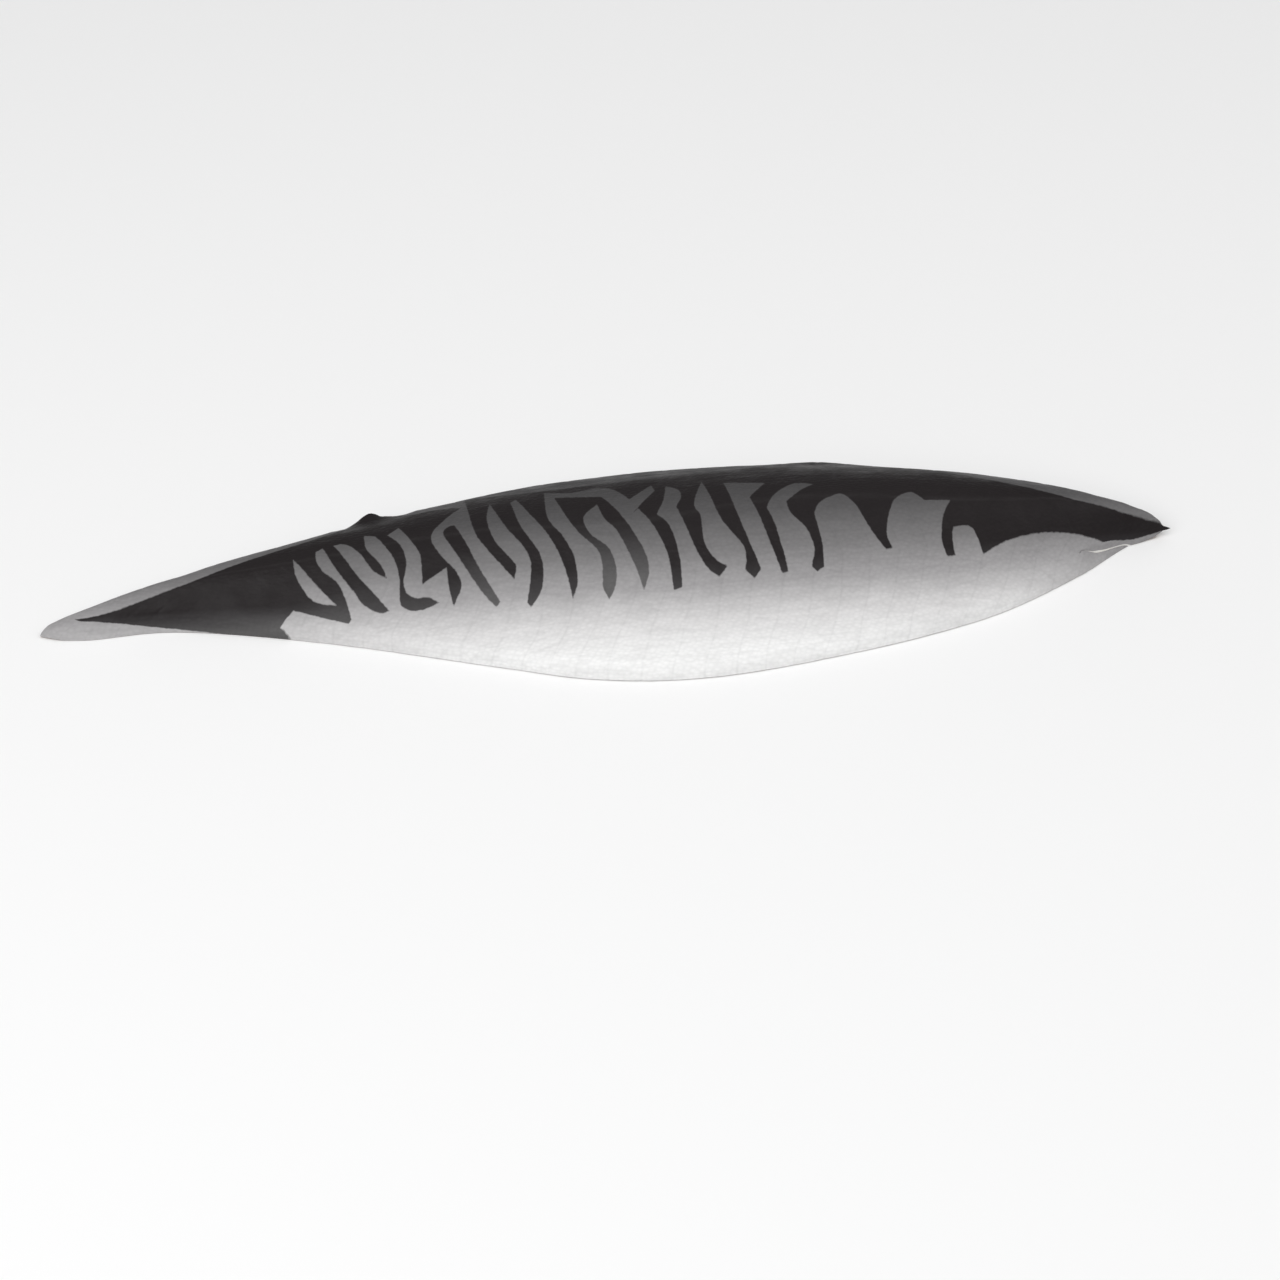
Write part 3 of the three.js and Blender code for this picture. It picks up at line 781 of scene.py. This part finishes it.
FLESH_SET_IN = 0.35
LIES_FLAT = -0.85
BESIDE_SLIT = 1.5
BELLY_STRIP = 0.08
points, facing = points_of(flesh), facing_of(flesh)
across = across_of(points)
edge = skin_edge(points, facing)
width = np.interp(points[:, 0], STOPS, back_side - belly_side)
set_in = np.minimum(FLESH_SET_IN, 0.05 * width)
at_back = facing[:, 1] > 0.1
under_skin = np.where(at_back, ease(points[:, 2], 0.3 * edge, edge), 1) * (facing[:, 2] > LIES_FLAT)
outward = np.stack([facing[:, 0], facing[:, 1], np.maximum(facing[:, 2], 0)], axis=1)
near_slit = (by_slit(points) < BESIDE_SLIT) & (kept_value(flesh, "flap") > 0.5)
outward[near_slit] *= (0, 0, 1)
below = (facing[:, 2] < LIES_FLAT) & ~near_slit
belly_shift = np.where(below, 0.7 * set_in * np.clip(1 - across / BELLY_STRIP, 0, 1), 0)
points -= outward * (set_in * under_skin)[:, None]
points[:, 1] += belly_shift

# In the shoulder's point the flesh is shorter and slimmer than the skin that it fills.
FLESH_CENTRE = (0, POINT_ACROSS, 1.8)
IN_POINT = (233.6, 235.6)
SHORTER, SLIMMER = np.array([-0.9, 0, 0]), 0.6
in_point = ease(points[:, 0], *IN_POINT)[:, None]
points += in_point * SHORTER + SLIMMER * in_point * (FLESH_CENTRE - points) * (0, 1, 1)

# Flakes, fibres and rib marks on the open side, all of it inwards.
OPEN_ALONG, OPEN_ACROSS = (4, 14, 222, 232), (0.02, 0.1, 0.93, 0.985)
FLAKES_APART, PARTING_WIDE, FLAKE_REACH, FLAKE_TURNS = 6.4, 0.11, 13, 1.6
RIBS_APART, RIB_WIDE = 5.2, 0.12
PARTING_DEEP, LIFT_DEEP, FIBRE_DEEP, RIB_DEEP = 0.26, 0.16, 0.06, 0.22
FULL_WIDTH = 44
NEARLY_POINTED = 0.94
faces_down, faces_back = ease(-facing[:, 2], 0.3, 0.8), ease(facing[:, 1], 0.3, 0.8)
open_side = faces_down * within(across, *OPEN_ACROSS) * within(points[:, 0], *OPEN_ALONG)
open_side *= ease(by_slit(points), 0.5, 3)
open_side += faces_back * (1 - ease(points[:, 2], 0.6 * edge, edge)) * ease(points[:, 2], 0.02, 0.3)
zigzag = np.arcsin(NEARLY_POINTED * np.cos(2 * np.pi * (across * FLAKE_TURNS + 0.1)))
bend = 0.5 + zigzag / (2 * np.arcsin(NEARLY_POINTED))
reach = FLAKE_REACH * np.clip(width / FULL_WIDTH, 0.3, 1)
flake = (points[:, 0] - reach * bend + 2 * grain(points, 14, 14, 14, 6)) / FLAKES_APART
parting = np.exp(-((((flake % 1) - 0.5) / PARTING_WIDE) ** 2)) * (0.55 + 0.45 * grain(points, 8, 8, 8, 7))
lift = LIFT_DEEP * (0.5 + 0.5 * np.sin(2.4 * np.floor(flake + 0.5)))
fibre = FIBRE_DEEP * (0.5 + 0.5 * grain(points, 5, 0.7, 0.7, 8))
hollow = ease(points[:, 2], 0.3, 1.2) * faces_down
rib_count = (points[:, 0] + 0.9 * points[:, 1]) / RIBS_APART
rib = np.exp(-(((rib_count % 1 - 0.5) / RIB_WIDE) ** 2)) * hollow
inward = open_side * (PARTING_DEEP * np.maximum(parting, 0) + lift + fibre + RIB_DEEP * rib)
move_to(flesh, points - facing * inward[:, None])
keep_inside(flesh)
keep_value(flesh, "across", across)
keep_value(flesh, "along", points[:, 0] / FILLET_LENGTH)
keep_value(flesh, "flake", flake)
keep_value(flesh, "open_side", np.clip(open_side, 0, 1))
keep_value(flesh, "hollow", np.maximum(hollow, 0))
upright = 1 - ease(abs(facing[:, 2]), 0.7, 0.9)
keep_value(flesh, "pale_cut", near_slit * upright * ease(points[:, 2], 0.4, 1.2))
take_up(flesh)
bpy.ops.object.shade_smooth_by_angle(angle=SMOOTH_BELOW)

flesh_finish, tree, shader = blank_material("smoked flesh")
place = add(tree, "TexCoord")
from_belly = add(tree, "Attribute", attribute_name="across")
from_tail = add(tree, "Attribute", attribute_name="along")
flake_count = add(tree, "Attribute", attribute_name="flake")
flesh_side = add(tree, "Attribute", attribute_name="open_side")
rib_hollow = add(tree, "Attribute", attribute_name="hollow")
pale_cut = add(tree, "Attribute", attribute_name="pale_cut")

# Brown at the back, tan in the middle and brown again towards the belly, which has a lining of its own tones.
# The tan band along the middle is a painted highlight along the flesh's ridge, and the darkest brown at the
# back is partly the smoked flesh's colour and partly painted shade.
MUSCLE_AND_PAINTED_LIGHT_TONES = [
    (0.0, (0.29, 0.16, 0.083)), (0.1, (0.25, 0.122, 0.053)), (0.33, (0.35, 0.19, 0.09)),
    (0.52, (0.54, 0.33, 0.16)), (0.6, (0.33, 0.18, 0.085)), (0.78, (0.16, 0.078, 0.036)),
    (0.92, (0.062, 0.029, 0.0145)),
]
LINING_TONES = [
    (0.1, (0.165, 0.13, 0.098)), (0.45, (0.52, 0.44, 0.31)), (0.7, (0.4, 0.28, 0.17)),
    (0.95, (0.29, 0.15, 0.073)),
]
smoke = add(tree, "TexNoise", Scale=55, Detail=5, Roughness=0.6)
join(tree, place, smoke, "Object", "Vector")
wander = maths(tree, "MULTIPLY_ADD", smoke, 0.16, "Fac")
wander.inputs[2].default_value = -0.08
crosswise = maths(tree, "ADD", from_belly, wander, "Fac")
muscle = ramp(tree, crosswise, MUSCLE_AND_PAINTED_LIGHT_TONES)
lining_tone = ramp(tree, from_tail, LINING_TONES, "Fac")
lining_share = spread(tree, crosswise, 0.13, 0.08)
lined = blend(tree, 0, muscle, lining_tone)
join(tree, lining_share, lined, 0, 0)
# Darker up in the rib hollow: painted shade.
hollow_shade_share = maths(tree, "MULTIPLY", rib_hollow, 0.45, "Fac")
hollow_shaded = blend(tree, hollow_shade_share, lined, (0.2, 0.1, 0.05))

# Fibres along the fish, flakes of slightly different tone with grooves between them darkened by painted
# shade, and pale fat at the slit.
laid_fibres = add(tree, "Mapping", Scale=(260, 1500, 1500))
join(tree, place, laid_fibres, "Object", "Vector")
fibres = add(tree, "TexNoise", Scale=1, Detail=4, Distortion=0.4)
join(tree, laid_fibres, fibres, 0, "Vector")
fibre_tone = ramp(tree, fibres, [(0.3, 0.86), (0.65, 1.05)], "Fac")
fibred = blend(tree, 1.0, hollow_shaded, fibre_tone, "MULTIPLY")
ragged_count = add(tree, "TexNoise", Scale=420, Detail=3)
join(tree, place, ragged_count, "Object", "Vector")
count = maths(tree, "MULTIPLY_ADD", ragged_count, 0.12, "Fac")
join(tree, flake_count, count, "Fac", 2)
next_flake = maths(tree, "ADD", count, 0.5)
this_flake = maths(tree, "FLOOR", next_flake, None)
flake_chance = add(tree, "TexWhiteNoise", noise_dimensions="1D")
join(tree, this_flake, flake_chance, 0, "W")
flake_tone = ramp(tree, flake_chance, [(0.0, 0.84), (1.0, 1.08)])
flaked = blend(tree, 1.0, fibred, flake_tone, "MULTIPLY")
opened = add(tree, "TexNoise", Scale=120, Detail=2)
join(tree, place, opened, "Object", "Vector")
how_open = spread(tree, opened, 0.36, 0.6, "Fac")
parting = line_between(tree, count, 0.09, 1)
open_parting = maths(tree, "MULTIPLY", parting, how_open)
parting_share = maths(tree, "MULTIPLY", open_parting, flesh_side, out_second="Fac")
shade = line_between(tree, count, 0.32, 0.3)
shade_share = maths(tree, "MULTIPLY", shade, flesh_side, out_second="Fac")
shaded = blend(tree, shade_share, flaked, (0.09, 0.045, 0.022))
# The partings darkened further: painted shade.
parting_shade_share = maths(tree, "MULTIPLY", parting_share, 0.6)
parted = blend(tree, parting_shade_share, shaded, (0.06, 0.03, 0.015))
colour = blend(tree, 0, parted, (0.84, 0.81, 0.74))
join(tree, pale_cut, colour, "Fac", 0)
join(tree, colour, shader, 2, "Base Color")

# Moist in patches, with the fibres and the grooves as relief.
moist = add(tree, "TexNoise", Scale=240, Detail=4)
join(tree, place, moist, "Object", "Vector")
gloss = spread(tree, moist, 0.35, 0.7, "Fac")
gloss.inputs["To Min"].default_value = 0.32
gloss.inputs["To Max"].default_value = 0.58
join(tree, gloss, shader, 0, "Roughness")
shader.inputs["Specular IOR Level"].default_value = 0.35
fibre_bump = add(tree, "Bump", Strength=0.45, Distance=0.0004)
join(tree, fibres, fibre_bump, "Fac", "Height")
parting_bump = add(tree, "Bump", Strength=0.6, Distance=0.0003, invert=True)
join(tree, parting_share, parting_bump, 0, "Height")
join(tree, fibre_bump, parting_bump, 0, "Normal")
join(tree, parting_bump, shader, 0, "Normal")

flesh.data.materials.append(flesh_finish)
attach(flesh, "root")
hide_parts("fillet")

# The table: a plain pale sheet under the fillet, only for the picture.
# It is a flat plane, six metres wide, a hair below the flesh so that the two don't touch.

TABLE_WIDE = 6
HAIR_BELOW = -0.00005
bpy.ops.mesh.primitive_plane_add(size=TABLE_WIDE, location=(0, 0, HAIR_BELOW))
table = bpy.context.object
table.name = "table_top"
table_finish, tree, shader = blank_material("pale table")
shader.inputs["Base Color"].default_value = (0.93, 0.93, 0.93, 1)
shader.inputs["Roughness"].default_value = 0.7
shader.inputs["Specular IOR Level"].default_value = 0.2
table.data.materials.append(table_finish)

# The camera and the lights: a long lens a metre off and 40 degrees up, turned a little towards the tail.
# Three large soft lamps and a dim white sky light the fillet, the strongest of them from the left front.

AIM = Vector((4.3, -6.7, -6.65)) * MM
TURN, RISE, FAR = math.radians(-8.36), math.radians(40), 0.99
LENS, SENSOR_WIDE = 135, 36
LAMPS = [
    ("key lamp", (-0.45, -0.5, 0.95), 1.1, 10.7),
    ("side lamp", (0.75, -0.15, 0.75), 0.8, 2.4),
    ("back lamp", (0.1, 0.55, 1), 0.9, 1.4),
]
towards = Vector((math.sin(TURN) * math.cos(RISE), -math.cos(TURN) * math.cos(RISE), math.sin(RISE)))
looks_along = (-towards).to_track_quat("-Z", "Y").to_euler()
bpy.ops.object.camera_add(location=AIM + towards * FAR, rotation=looks_along)
camera = bpy.context.object
camera.data.lens = LENS
camera.data.sensor_width = SENSOR_WIDE
bpy.context.scene.camera = camera

for name, place, size, power in LAMPS:
    place = Vector(place)
    shines_along = place.to_track_quat("Z", "Y").to_euler()
    bpy.ops.object.light_add(type="AREA", location=place, rotation=shines_along)
    lamp = bpy.context.object
    lamp.name = name
    lamp.data.size = size
    lamp.data.energy = power

sky = bpy.data.worlds.new("studio")
sky.use_nodes = True
sky.node_tree.nodes["Background"].inputs["Color"].default_value = (1, 1, 1, 1)
sky.node_tree.nodes["Background"].inputs["Strength"].default_value = 0.28
bpy.context.scene.world = sky
bpy.context.scene.view_settings.view_transform = "Standard"
